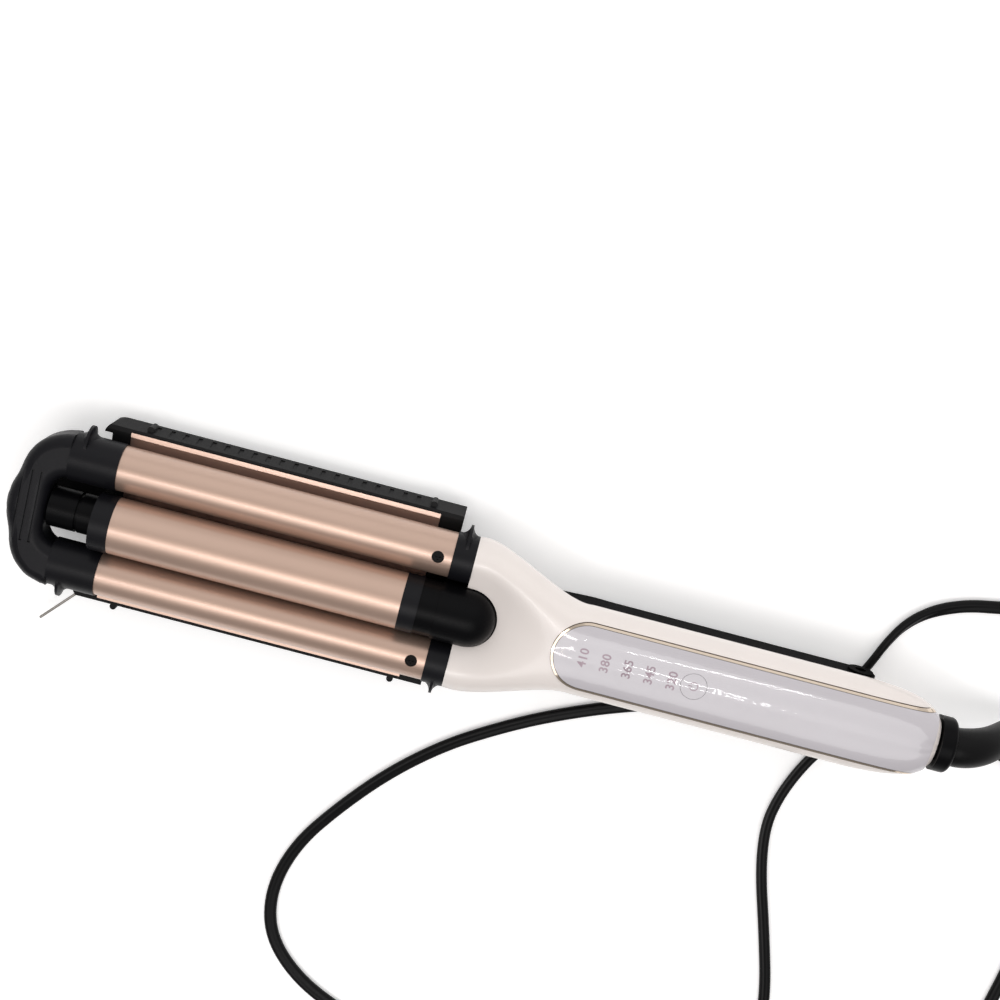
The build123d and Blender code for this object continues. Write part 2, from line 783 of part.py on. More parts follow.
def rear_shape(half_width, top, low):
    """The outline's values for a handle section of the given size."""
    share = (half_width - 8.5) / 7.9
    wide = 6.5 + 1.75 * share
    lobe_y = half_width - wide
    return (
        lobe_y,
        (top + low) / 2,
        wide,
        (top - low) / 2 - 0.25 * share,
        0.49 * lobe_y,
        top - 0.08,
        low + 0.05,
        0.0,
        top,
        low,
    )


# the same pace round every outline keeps the skin between them even
half_pace = [0.0, 1.1, 2.1, 3.3, 4.5, 5.7, 6.9, 7.9]
outline_pace = half_pace + [9.0 + pace for pace in (0.0, 1.1, 2.1, 3.3, 4.5, 5.7, 6.9, 7.9, 9.0)]


def arm_outline_at(
    lobe_y, lobe_z, wide, high, shoulder_y, shoulder_top, shoulder_low, lean, top, low, inset
):
    """Closed outline across the upper arm: two side lobes joined over the middle."""
    slant = math.radians(lean)
    shift_y = inset * math.sin(slant)
    shift_z = inset * math.cos(slant)
    reach = math.sqrt(0.5)
    half = [
        (shoulder_y + shift_y, shoulder_top - shift_z),
        (lobe_y, lobe_z + high - inset),
        (lobe_y + reach * (wide - inset), lobe_z + reach * (high - inset)),
        (lobe_y + wide - inset, lobe_z),
        (lobe_y + reach * (wide - inset), lobe_z - reach * (high - inset)),
        (lobe_y, lobe_z - high + inset),
        (shoulder_y + shift_y, shoulder_low + shift_z),
    ]
    other_half = [(-y, z) for y, z in reversed(half)]
    points = [(0, top - inset), *half, (0, low + inset), *other_half]
    add(Edge.make_spline([Vector(*point) for point in points], periodic=True, parameters=outline_pace))


def fork_body(inset):
    """The upper arm's outer form, drawn in on every side by inset."""
    straight_front = fork_collar_rear + fork_stations[-1][0]
    straight_rear = handle_rear - handle_taper
    straight = fork_stations[-1][1:]
    sections = [(straight_rear, straight)]
    for from_rear, *size in rear_stations:
        end = handle_rear - from_rear - (inset if from_rear == 0 else 0)
        sections.append((end, rear_shape(*size)))
    with BuildPart() as form:
        for from_collar, *shape in fork_stations:
            with BuildSketch(at_barrels(fork_collar_rear + from_collar)):
                with BuildLine():
                    arm_outline_at(*shape, inset)
                make_face()
        loft()
        with BuildSketch(at_barrels(straight_front)):
            with BuildLine():
                arm_outline_at(*straight, inset)
            make_face()
        extrude(amount=straight_rear - straight_front)
        for place, shape in sections:
            with BuildSketch(at_barrels(place)):
                with BuildLine():
                    arm_outline_at(*shape, inset)
                make_face()
        loft()
    return form.part


def panel_outline(grow):
    """Plan of the panel: round at the front, square at the handle's rear end."""
    half = panel_half_width + bezel_width + grow
    centre = panel_front + panel_half_width + bezel_width
    with BuildSketch(Plane.XY, mode=Mode.PRIVATE) as plan:
        with Locations((centre, 0)):
            Circle(half)
            Rectangle(handle_rear - panel_rear_rim - centre, 2 * half, align=(Align.MIN, Align.CENTER))
    return plan.sketch


outer_form = fork_body(0.0)
inner_form = fork_body(shell_wall)
proud_form = fork_body(-lens_proud)
seat_form = fork_body(lens_thickness - lens_proud)
seam_z = axis_height + seam_height
panel_low_z = seam_z + 8.0
tongue_top = middle_height - hood_skirt + 4.0
button_x = panel_front + 50.6
number_places = [panel_front + 11.3 + 7.9 * index for index in range(5)]
boss_places = [(button_x + along, across) for along in (-38.9, 7.1) for across in (7.0, -7.0)]
board_height = axis_height + 8.9
screw_places = [button_x + 25.1, button_x + 41.1]
board_length = 54.0
board_rear = button_x + 11.1
swivel_z = axis_height + swivel_height


def fork_openings():
    """Space that the hood and its tongue slide in, and the swivel's neck passes through."""
    hood_room = hood_radius + hood_play
    with BuildPart() as room:
        with BuildSketch(Plane.XY):
            with Locations((hood_nose_x, 0)):
                Circle(hood_room)
                Rectangle(30, 2 * hood_room, align=(Align.MAX, Align.CENTER))
        extrude(amount=3 * axis_height)
        with Locations((hood_nose_x, 0, 0)):
            Box(
                tongue_rear + 0.5 - hood_nose_x,
                2 * (tongue_half_width + 0.1),
                tongue_top + 0.4,
                align=(Align.MIN, Align.CENTER, Align.MIN),
            )
        with BuildSketch(at_barrels(handle_rear - 8.0, 0, swivel_height)):
            Circle(swivel_neck_radius - 0.7)
        extrude(amount=12)
    return room.part


openings = fork_openings()
with BuildPart() as hollow:
    add(inner_form)
    pocket_wall = hood_radius + hood_play + 1.6
    with BuildSketch(Plane.XY):
        with Locations((hood_nose_x, 0)):
            Circle(pocket_wall)
            Rectangle(30, 2 * pocket_wall, align=(Align.MAX, Align.CENTER))
    extrude(amount=3 * axis_height, mode=Mode.SUBTRACT)
inner_form = hollow.part
with BuildPart() as front_shell:
    add(outer_form)
    with Locations((0, 0, seam_z)):
        Box(800, 200, 200, align=(Align.CENTER, Align.CENTER, Align.MAX), mode=Mode.SUBTRACT)
    add(inner_form, mode=Mode.SUBTRACT)
    with BuildPart(mode=Mode.PRIVATE) as panel_recess:
        with BuildSketch(Plane.XY.offset(panel_low_z)):
            add(panel_outline(panel_groove))
        extrude(amount=3 * axis_height)
        add(seat_form, mode=Mode.SUBTRACT)
    add(panel_recess.part, mode=Mode.SUBTRACT)
    for place in number_places:
        with Locations((place, 0, handle_top + axis_height)):
            Box(2.4, 6.4, 8, mode=Mode.SUBTRACT)
    with Locations((button_x, 0, handle_top + axis_height)):
        Cylinder(button_radius + button_gap, 8, mode=Mode.SUBTRACT)
    with BuildPart(mode=Mode.PRIVATE) as screw_bosses:
        for place in screw_places:
            with Locations((place, 0, seam_z)):
                Cylinder(2.6, axis_height, align=(Align.CENTER, Align.CENTER, Align.MIN))
        add(inner_form.moved(Location((0, 0, 0.5))), mode=Mode.INTERSECT)
    add(screw_bosses.part)
    for place in screw_places:
        with Locations((place, 0, seam_z)):
            Cylinder(0.9, 8.0, align=(Align.CENTER, Align.CENTER, Align.MIN), mode=Mode.SUBTRACT)
    add(openings, mode=Mode.SUBTRACT)
write(front_shell.part, "front_shell")

with BuildPart() as rear_shell:
    add(outer_form)
    with Locations((0, 0, seam_z)):
        Box(800, 200, 200, align=(Align.CENTER, Align.CENTER, Align.MIN), mode=Mode.SUBTRACT)
    add(inner_form, mode=Mode.SUBTRACT)
    shell_floor = axis_height + handle_underside
    for place in boss_places:
        with Locations((*place, shell_floor + 1.0)):
            Cylinder(2.2, board_height - shell_floor - 1.0, align=(Align.CENTER, Align.CENTER, Align.MIN))
    for side in sides.values():
        lug_middle = side * (lug_outer + lug_inner) / 2
        lug_width = lug_outer - lug_inner
        with Locations(Plane((hinge_x, lug_middle, hinge_height), z_dir=(0, 1, 0))):
            Cylinder(knuckle_radius - 0.3, lug_width)
        with Locations((hinge_x, lug_middle, hinge_height)):
            Box(
                2 * knuckle_radius - 0.6,
                lug_width,
                shell_floor + 1.0 - hinge_height,
                align=(Align.CENTER, Align.CENTER, Align.MIN),
            )
    with Locations(Plane((hinge_x, 0, hinge_height), z_dir=(0, 1, 0))):
        Cylinder(hinge_pin_radius, 60, mode=Mode.SUBTRACT)
    for place in screw_places:
        with Locations((place, 0, shell_floor)):
            Cylinder(2.6, seam_z - shell_floor, align=(Align.CENTER, Align.CENTER, Align.MIN))
            Cylinder(1.25, 8.0, align=(Align.CENTER, Align.CENTER, Align.CENTER), mode=Mode.SUBTRACT)
            Cylinder(2.1, 1.2, align=(Align.CENTER, Align.CENTER, Align.MIN), mode=Mode.SUBTRACT)
    add(openings, mode=Mode.SUBTRACT)
write(rear_shell.part, "rear_shell")

with BuildPart() as handle_screws:
    for place in screw_places:
        with Locations((place, 0, shell_floor + 0.1)):
            Cylinder(2.0, 1.1, align=(Align.CENTER, Align.CENTER, Align.MIN))
            Cylinder(0.9, 9.0, align=(Align.CENTER, Align.CENTER, Align.MIN))
write(handle_screws.part, "handle_screws")

# ---------------------------------------------------------------- panel
with BuildPart() as panel_bezel:
    with BuildSketch(Plane.XY.offset(panel_low_z)):
        add(panel_outline(0.0))
        add(panel_outline(-bezel_width), mode=Mode.SUBTRACT)
    extrude(amount=3 * axis_height)
    add(proud_form, mode=Mode.INTERSECT)
    add(seat_form, mode=Mode.SUBTRACT)
    add(openings, mode=Mode.SUBTRACT)
write(panel_bezel.part, "panel_bezel")

with BuildPart() as panel_lens:
    with BuildSketch(Plane.XY.offset(panel_low_z)):
        add(panel_outline(-bezel_width - panel_groove))
        with Locations((button_x, 0)):
            Circle(button_radius + button_gap, mode=Mode.SUBTRACT)
    extrude(amount=3 * axis_height)
    add(proud_form, mode=Mode.INTERSECT)
    add(seat_form, mode=Mode.SUBTRACT)
    add(openings, mode=Mode.SUBTRACT)
write(panel_lens.part, "panel_lens")

board_top = board_height + 1.6
with BuildPart() as power_button:
    with BuildSketch(Plane((button_x, 0, axis_height))):
        Circle(button_radius)
    extrude(amount=2 * axis_height)
    add(proud_form, mode=Mode.INTERSECT)
    with Locations((button_x, 0, axis_height)):
        Cylinder(
            button_radius + 1,
            2 * (handle_top - shell_wall + 0.8),
            mode=Mode.SUBTRACT,
        )
    stem_base = board_top + 2.0
    with Locations((button_x, 0, stem_base)):
        Cylinder(
            1.5,
            axis_height + handle_top - shell_wall + 1.0 - stem_base,
            align=(Align.CENTER, Align.CENTER, Align.MIN),
        )
write(power_button.part, "power_button")

# ---------------------------------------------------------------- electronics
with BuildPart() as circuit_board:
    with Locations((board_rear, 0, board_height)):
        Box(board_length, 19.0, 1.6, align=(Align.MAX, Align.CENTER, Align.MIN))
write(circuit_board.part, "circuit_board")

with BuildPart() as power_switch:
    with Locations((button_x, 0, board_top)):
        Box(6.0, 6.0, 1.3, align=(Align.CENTER, Align.CENTER, Align.MIN))
        Cylinder(1.6, 1.4, align=(Align.CENTER, Align.CENTER, Align.MIN))
write(power_switch.part, "power_switch")

led_height = 0.8
with BuildPart() as indicator_leds:
    for place in number_places:
        with Locations((place, 0, board_top)):
            Box(1.6, 3.2, led_height, align=(Align.CENTER, Align.CENTER, Align.MIN))
write(indicator_leds.part, "indicator_leds")

with BuildPart() as light_guides:
    for place in number_places:
        with Locations((place, 0, board_top + led_height)):
            Box(2.2, 6.0, 3 * axis_height, align=(Align.CENTER, Align.CENTER, Align.MIN))
    add(seat_form, mode=Mode.INTERSECT)
write(light_guides.part, "light_guides")

# ---------------------------------------------------------------- hinge
with BuildPart() as hinge_pin:
    with Locations(Plane((hinge_x, 0, hinge_height), z_dir=(0, 1, 0))):
        Cylinder(hinge_pin_radius, 2 * arm_half_width - 1.0)
write(hinge_pin.part, "hinge_pin")

spring_wire_radius = 0.45
spring_turns = 5
spring_pitch = 1.35
spring_length = spring_turns * spring_pitch
with BuildPart() as opening_spring:
    with BuildLine() as coil_line:
        Helix(spring_pitch, spring_length, hinge_pin_radius + spring_wire_radius + 0.3)
    with BuildSketch(Plane(coil_line.line @ 0, z_dir=coil_line.line % 0)):
        Circle(spring_wire_radius)
    sweep()
spring_seat = Location((hinge_x, spring_length / 2, hinge_height), (90, 0, 0))
write(opening_spring.part.moved(spring_seat), "opening_spring")

# ---------------------------------------------------------------- swivel
with BuildPart() as swivel_collar:
    with BuildSketch(at_barrels(swivel_front, 0, swivel_height)):
        Circle(swivel_radius)
        Circle(boot_radius + 0.3, mode=Mode.SUBTRACT)
    extrude(amount=swivel_length)
    fillet(swivel_collar.faces().sort_by(Axis.X)[-1].outer_wire().edges(), 1.6)
    neck_front = handle_rear - shell_wall - 1.8
    with BuildSketch(at_barrels(neck_front, 0, swivel_height)):
        Circle(swivel_neck_radius - 1.0)
        Circle(boot_radius + 0.3, mode=Mode.SUBTRACT)
    extrude(amount=swivel_front - neck_front)
write(swivel_collar.part, "swivel_collar")

# ---------------------------------------------------------------- strain relief
# centre line and radius of the bending boot, from inside the handle to its nose
boot_front = handle_rear - 7.4
flange_front = swivel_front + swivel_length + 0.3
flange_rear = flange_front + 2.2
boot_stations = [
    ((flange_rear, 0.0, swivel_z), (1.0, 0.0, 0.0), boot_radius + 1.0),
    ((flange_rear + 5.8, 0.8, swivel_z - 1.6), (1.0, 0.2, -0.38), boot_radius + 0.9),
    ((flange_rear + 12.1, 2.5, swivel_z - 5.4), (0.9, 0.32, -0.85), boot_radius + 0.3),
    ((flange_rear + 17.2, 4.4, swivel_z - 11.0), (0.7, 0.3, -0.95), boot_radius - 0.6),
    ((flange_rear + 21.4, 6.2, swivel_z - 17.0), (0.62, 0.3, -0.95), boot_radius - 1.8),
]
with BuildPart() as cord_boot:
    for centre, heading, radius in boot_stations:
        with BuildSketch(Plane(centre, z_dir=heading)):
            Circle(radius)
    loft()
    with BuildSketch(at_barrels(flange_front, 0, swivel_height)):
        Circle(boot_radius + 1.0)
    extrude(amount=flange_rear - flange_front)
    with BuildSketch(at_barrels(boot_front, 0, swivel_height)):
        Circle(boot_radius)
    extrude(amount=flange_front - boot_front)
write(cord_boot.part, "cord_boot")

# ---------------------------------------------------------------- supply cord
floor = cord_radius
coil_x, coil_y = coil_centre
coil_outer = coil_turn_radius + coil_band / 2
tail_height = coil_height - cord_radius
cord_route = [
    (flange_rear + 21.4, 6.2, swivel_z - 17.0),
    (276.4, 7.9, 6.0),
    (284.0, 11.0, floor + 0.3),
    (294.8, 17.6, floor),
    (299.8, 30.0, floor),
    (296.0, 42.0, floor),
    (285.4, 50.0, floor),
    (271.8, 50.3, floor),
    (259.5, 46.8, floor),
    (247.0, 44.5, floor),
    (235.5, 39.5, floor),
    (227.6, 32.5, floor),
    (222.8, 23.5, floor),
    (219.4, 13.5, floor),
    (214.2, 2.5, floor),
    (207.8, -7.5, floor),
    (198.0, -15.3, floor),
    (184.5, -18.3, floor),
    (167.5, -18.6, floor),
    (148.7, -21.4, floor),
    (129.8, -28.4, floor),
    (110.5, -37.4, floor),
    (94.0, -46.9, floor),
    (77.5, -58.0, floor),
    (60.5, -73.8, floor),
    (45.5, -92.5, floor),
    (33.5, -111.0, floor),
    (28.2, -131.0, floor),
    (31.5, -149.5, floor),
    (44.0, -163.5, floor),
    (61.5, -173.0, floor),
    (84.0, -179.5, floor),
    (112.0, -183.5, floor),
    (142.0, -184.5, floor),
    (171.0, -181.5, floor),
    (196.0, -173.5, floor),
    (214.0, -160.0, floor),
    (223.0, -142.5, floor),
    (221.0, -123.0, floor),
    (213.0, -98.0, floor),
    (204.5, -74.0, floor),
    (201.2, -57.0, floor),
    (202.3, -45.5, floor),
    (206.0, -33.5, floor),
    (211.5, -22.3, floor),
    (219.0, -13.5, floor),
    (230.0, -8.0, floor),
    (244.0, -5.5, floor),
    (261.0, -4.0, floor),
    (277.0, -6.0, floor),
    (291.0, -14.0, floor),
    (301.0, -29.0, floor),
    (306.5, -49.0, floor),
    (307.0, -72.0, floor),
    (304.5, -95.0, floor),
    (301.5, -116.0, floor),
    (coil_x + coil_outer - cord_radius + 0.8, coil_y + 13.0, floor),
]
tail_route = [
    (coil_x - 2.0, coil_y - coil_outer + cord_radius, tail_height),
    (coil_x - 16.0, coil_y - coil_outer + cord_radius - 0.6, tail_height + 0.8),
    (coil_x - 29.0, coil_y - coil_outer + cord_radius - 2.5, plug_thickness / 2 + 0.1),
]


def cord_tube(route):
    """A round tube along straight runs joined by the largest arcs that fit them."""
    points = [Vector(*point) for point in route]
    radii = []
    for before, corner, after in zip(points, points[1:], points[2:]):
        run_in = corner - before
        run_out = after - corner
        turn = math.radians(run_in.get_angle(run_out))
        shorter = min(run_in.length, run_out.length)
        radii.append(0.45 * shorter / math.tan(turn / 2))
    with BuildPart() as tube:
        with BuildLine() as path:
            FilletPolyline(*points, radius=radii)
        course = path.wire()
        with BuildSketch(Plane(course @ 0, z_dir=course % 0)):
            Circle(cord_radius)
        sweep(path=course)
    print("cord radii", [round(radius, 1) for radius in radii])
    length = course.length
    print("cord length", round(length, 1))
    print("volume", round(tube.part.volume, 1), "section by length", round(math.pi * cord_radius**2 * length, 1))
    return tube.part


write(cord_tube(cord_route), "supply_cord")
write(cord_tube(tail_route), "cord_tail")

with BuildPart() as cord_coil:
    with BuildSketch(Plane((coil_x, coil_y, 0))):
        Circle(coil_outer)
        Circle(coil_outer - coil_band, mode=Mode.SUBTRACT)
    extrude(amount=coil_height)
write(cord_coil.part, "cord_coil")

# ---------------------------------------------------------------- plug
plug_start = Vector(*tail_route[-1])
plug_heading = plug_start - Vector(*tail_route[-2])
plug_heading = Vector(plug_heading.X, plug_heading.Y, 0).normalized()


def across_plug(distance):
    """A plane across the plug, with its first axis upright."""
    return Plane(plug_start + plug_heading * distance, x_dir=(0, 0, 1), z_dir=plug_heading)


with BuildPart() as plug_body:
    with BuildSketch(across_plug(0)):
        RectangleRounded(2 * cord_radius + 1.4, 2 * cord_radius + 3.0, 2.5)
    with BuildSketch(across_plug(plug_neck)):
        RectangleRounded(plug_thickness, plug_width, 4.0)
    loft()
    with BuildSketch(across_plug(plug_neck)):
        RectangleRounded(plug_thickness, plug_width, 4.0)
    extrude(amount=plug_length - plug_neck)
write(plug_body.part, "plug_body")

with BuildPart() as plug_blades:
    with BuildSketch(across_plug(plug_length)):
        with GridLocations(1, blade_spacing, 1, 2):
            Rectangle(blade_width, blade_thickness)
    extrude(amount=blade_length)
write(plug_blades.part, "plug_blades")

# ---------------------------------------------------------------- mains leads in the handle
with BuildPart() as mains_leads:
    for side in sides.values():
        with BuildSketch(at_barrels(board_rear, side * 4.0, board_height - axis_height + lead_radius)):
            Circle(lead_radius)
        extrude(amount=boot_front - board_rear)
write(mains_leads.part, "mains_leads")
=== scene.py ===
import json
import math

import bmesh
import bpy
from mathutils import Matrix, Vector
from mathutils.bvhtree import BVHTree

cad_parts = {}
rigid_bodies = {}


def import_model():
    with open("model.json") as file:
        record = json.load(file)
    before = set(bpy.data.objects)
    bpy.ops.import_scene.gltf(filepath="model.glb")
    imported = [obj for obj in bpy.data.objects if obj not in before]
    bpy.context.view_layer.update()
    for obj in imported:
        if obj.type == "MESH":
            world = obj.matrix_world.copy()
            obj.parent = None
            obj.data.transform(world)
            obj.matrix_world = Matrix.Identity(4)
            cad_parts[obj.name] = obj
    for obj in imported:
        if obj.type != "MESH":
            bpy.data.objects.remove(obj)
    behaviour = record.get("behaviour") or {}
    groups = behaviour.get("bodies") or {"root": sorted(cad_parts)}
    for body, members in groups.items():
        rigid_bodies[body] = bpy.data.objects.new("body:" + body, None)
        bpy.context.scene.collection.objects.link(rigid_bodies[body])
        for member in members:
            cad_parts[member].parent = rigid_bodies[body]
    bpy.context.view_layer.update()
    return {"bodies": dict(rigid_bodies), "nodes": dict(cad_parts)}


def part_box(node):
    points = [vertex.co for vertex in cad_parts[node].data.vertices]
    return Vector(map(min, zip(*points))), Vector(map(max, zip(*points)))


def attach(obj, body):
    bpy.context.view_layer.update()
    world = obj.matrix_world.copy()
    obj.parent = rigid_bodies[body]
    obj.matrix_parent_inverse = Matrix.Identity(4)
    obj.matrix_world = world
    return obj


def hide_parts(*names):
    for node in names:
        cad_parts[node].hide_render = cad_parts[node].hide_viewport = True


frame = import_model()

nodes = frame["nodes"]
collection = bpy.context.scene.collection
MM = 0.001


# ---------------------------------------------------------------- camera
camera_place = Vector((65.88, 174.89, 597.17)) * MM
sensor_width = 36
focal_length = 61.2  # 1.7 times the width of the square frame
near_clip = 0.01

camera_data = bpy.data.cameras.new("camera")
camera_data.sensor_width = sensor_width
camera_data.lens = focal_length
camera_data.clip_start = near_clip
camera = bpy.data.objects.new("camera", camera_data)
right = Vector((0.967, 0.2509, -0.0438))
up = Vector((-0.2544, 0.9418, -0.2199))
back = right.cross(up)
turn = Matrix((right, up, back)).transposed()
camera.matrix_world = Matrix.Translation(camera_place) @ turn.to_4x4()
collection.objects.link(camera)
bpy.context.scene.camera = camera


# ---------------------------------------------------------------- materials
bump_distance = 0.0004
noise_detail = 3
noise_low, noise_high = 0.3, 0.7  # the part of a noise's range that is used
mottle_scale = 60


def material(name, colour, roughness, metallic=0.0, coat=0.0, coat_roughness=0.1,
             grain=(1200, 0), streak=None, mottle=0.0, rough_spread=0.0, specular=0.5,
             emission=None):
    """Principled material whose variation follows noise in object space.

    grain is the noise's scale and the bump's strength, streak its stretch along each axis,
    rough_spread the change of roughness and mottle the share by which the colour changes.
    """
    grain_scale, grain_depth = grain
    m = bpy.data.materials.new(name)
    m.use_nodes = True
    nt = m.node_tree
    shader = nt.nodes["Principled BSDF"]
    shader.inputs["Base Color"].default_value = (*colour, 1)
    shader.inputs["Roughness"].default_value = roughness
    shader.inputs["Metallic"].default_value = metallic
    shader.inputs["Coat Weight"].default_value = coat
    shader.inputs["Coat Roughness"].default_value = coat_roughness
    shader.inputs["Specular IOR Level"].default_value = specular
    if emission:
        shader.inputs["Emission Color"].default_value = (*colour, 1)
        shader.inputs["Emission Strength"].default_value = emission
    place = nt.nodes.new("ShaderNodeTexCoord")
    noise = nt.nodes.new("ShaderNodeTexNoise")
    stretch = nt.nodes.new("ShaderNodeMapping")
    nt.links.new(place.outputs["Object"], stretch.inputs["Vector"])
    nt.links.new(stretch.outputs["Vector"], noise.inputs["Vector"])
    if streak:
        stretch.inputs["Scale"].default_value = streak
    noise.inputs["Scale"].default_value = grain_scale
    noise.inputs["Detail"].default_value = noise_detail
    if grain_depth:
        bump = nt.nodes.new("ShaderNodeBump")
        bump.inputs["Strength"].default_value = grain_depth
        bump.inputs["Distance"].default_value = bump_distance
        nt.links.new(noise.outputs["Fac"], bump.inputs["Height"])
        nt.links.new(bump.outputs["Normal"], shader.inputs["Normal"])
    if rough_spread:
        spread = nt.nodes.new("ShaderNodeMapRange")
        spread.inputs["From Min"].default_value = noise_low
        spread.inputs["From Max"].default_value = noise_high
        spread.inputs["To Min"].default_value = max(0.0, roughness - rough_spread)
        spread.inputs["To Max"].default_value = roughness + rough_spread
        nt.links.new(noise.outputs["Fac"], spread.inputs["Value"])
        nt.links.new(spread.outputs["Result"], shader.inputs["Roughness"])
    if mottle:
        tint = nt.nodes.new("ShaderNodeTexNoise")
        tint.inputs["Scale"].default_value = mottle_scale
        nt.links.new(stretch.outputs["Vector"], tint.inputs["Vector"])
        ramp = nt.nodes.new("ShaderNodeValToRGB")
        dark, light = ramp.color_ramp.elements[0], ramp.color_ramp.elements[1]
        dark.position, light.position = noise_low, noise_high
        dark.color = (*[c * (1 - mottle) for c in colour], 1)
        light.color = (*[min(1, c * (1 + mottle)) for c in colour], 1)
        nt.links.new(tint.outputs["Fac"], ramp.inputs["Fac"])
        nt.links.new(ramp.outputs["Color"], shader.inputs["Base Color"])
    return m


champagne = material("champagne_metal", (0.515, 0.362, 0.288), 0.38, metallic=0.7, coat=0.35,
                     coat_roughness=0.14, grain=(2600, 0.006), streak=(0.6, 1.0, 1.0),
                     rough_spread=0.03, mottle=0.012)
# the jaw plate: the barrels' metal darkened as painted shade for the gap behind the barrels
champagne_plate_painted_shade = material("champagne_plate_painted_shade", (0.36, 0.25, 0.21), 0.34, metallic=0.55,
                           grain=(1500, 0.006), streak=(0.3, 1, 1), rough_spread=0.03, mottle=0.02)
satin_black = material("satin_black", (0.0055, 0.0055, 0.0072), 0.40, grain=(2600, 0.03),
                       rough_spread=0.05, mottle=0.1, specular=0.15)
deep_black = material("deep_black", (0.0022, 0.0022, 0.0027), 0.34, grain=(1800, 0.02),
                      rough_spread=0.05, specular=0.07)
jaw_black = material("jaw_black", (0.008, 0.008, 0.0085), 0.55, grain=(2200, 0.05),
                     rough_spread=0.05, mottle=0.12, specular=0.12)
arm_black = material("arm_black", (0.0035, 0.0035, 0.0038), 0.6, grain=(2200, 0.04),
                     rough_spread=0.05, mottle=0.1, specular=0.02)
pearl_white = material("pearl_white", (0.80, 0.742, 0.708), 0.32, coat=0.3, coat_roughness=0.16,
                       grain=(3000, 0.004), rough_spread=0.03, mottle=0.01)
lilac_gloss = material("lilac_gloss", (0.53, 0.505, 0.535), 0.3, coat=1.0, coat_roughness=0.03,
                       mottle=0.01)
trim_gold = material("trim_gold", (0.66, 0.56, 0.46), 0.13, metallic=1.0, grain=(900, 0.01),
                     rough_spread=0.04)
steel = material("steel", (0.30, 0.28, 0.26), 0.30, metallic=1.0, grain=(1500, 0.05),
                 streak=(0.3, 0.3, 0.3), rough_spread=0.08)
screw_black = material("screw_black", (0.0025, 0.002, 0.002), 0.3, grain=(2000, 0.02),
                       specular=0.05)
ceramic = material("ceramic", (0.62, 0.60, 0.55), 0.6, grain=(1500, 0.2), mottle=0.04)
board_green = material("board_green", (0.02, 0.14, 0.06), 0.4, grain=(800, 0.1), mottle=0.15)
led_amber = material("led_amber", (0.7, 0.36, 0.08), 0.2, grain=(800, 0.02))
guide_clear = material("guide_clear", (0.72, 0.73, 0.73), 0.1, grain=(800, 0.02), coat=0.5)
cord_black = material("cord_black", (0.0035, 0.0035, 0.0038), 0.38, grain=(1400, 0.04),
                      rough_spread=0.06, mottle=0.1, specular=0.12)
brass = material("brass", (0.70, 0.55, 0.28), 0.22, metallic=1.0, grain=(1200, 0.05),
                 rough_spread=0.06, mottle=0.05)
lead_brown = material("lead_brown", (0.12, 0.07, 0.04), 0.5, grain=(1200, 0.05))
digit_mauve = material("digit_mauve", (0.37, 0.28, 0.325), 0.4, grain=(900, 0.02), mottle=0.2)

finishes = {
    champagne: ("outer_barrel_left", "outer_barrel_right", "middle_barrel"),
    champagne_plate_painted_shade: ("jaw_plate",),
    satin_black: ("tip_collar_left", "tip_collar_right", "fork_collar_left", "fork_collar_right",
                  "tip_yoke", "middle_tip_ring", "middle_rear_ring"),
    deep_black: ("tip_dial", "middle_hood", "swivel_collar", "power_switch"),
    jaw_black: ("jaw_cover",),
    arm_black: ("lower_handle", "lower_handle_lid"),
    pearl_white: ("front_shell", "rear_shell"),
    lilac_gloss: ("panel_lens", "power_button"),
    trim_gold: ("panel_bezel",),
    steel: ("wire_rest", "wire_rest_pin", "handle_screws", "heater_clips", "hinge_pin",
            "opening_spring"),
    screw_black: ("barrel_screws",),
    ceramic: ("outer_heater_left", "outer_heater_right", "middle_heater", "jaw_heaters"),
    board_green: ("circuit_board",),
    led_amber: ("indicator_leds",),
    guide_clear: ("light_guides",),
    cord_black: ("cord_boot", "supply_cord", "cord_tail", "cord_coil", "plug_body"),
    brass: ("plug_blades",),
    lead_brown: ("mains_leads",),
}
for finish, names in finishes.items():
    for name in names:
        mesh = nodes[name].data
        mesh.materials.clear()
        mesh.materials.append(finish)


def piece(name, mesh, finish, body, smooth=True):
    """Links a new mesh as a piece with this finish that rides a body."""
    for face in mesh.polygons:
        face.use_smooth = smooth
    mesh.materials.append(finish)
    new = bpy.data.objects.new(name, mesh)
    collection.objects.link(new)
    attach(new, body)
    return new


# ---------------------------------------------------------------- jaw plate rims
# thin bright edges along the plate in the barrels' undarkened metal colour, where they catch the
# light, beside the plate's painted shade
rim_width = 1.6 * MM
rim_overhang = 0.6 * MM  # over the cover's wall
rim_rise = 0.35 * MM
rim_top = 16.05 * MM
plate_low, plate_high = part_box("jaw_plate")
for side, name in ((1, "left"), (-1, "right")):
    rim = bmesh.new()
    bmesh.ops.create_cube(rim, size=1.0)
    rim_mesh = bpy.data.meshes.new(f"plate_rim_{name}")
    rim.to_mesh(rim_mesh)
    rim.free()
    rim_mesh.transform(Matrix.Translation((
        (plate_low[0] + plate_high[0]) / 2,
        side * (plate_high[1] + rim_overhang - rim_width / 2),
        rim_top - rim_rise / 2,
    )) @ Matrix.Diagonal((plate_high[0] - plate_low[0], rim_width, rim_rise, 1)))
    piece(
        f"plate_rim_{name}", rim_mesh, champagne, "lower_arm", smooth=False
    )

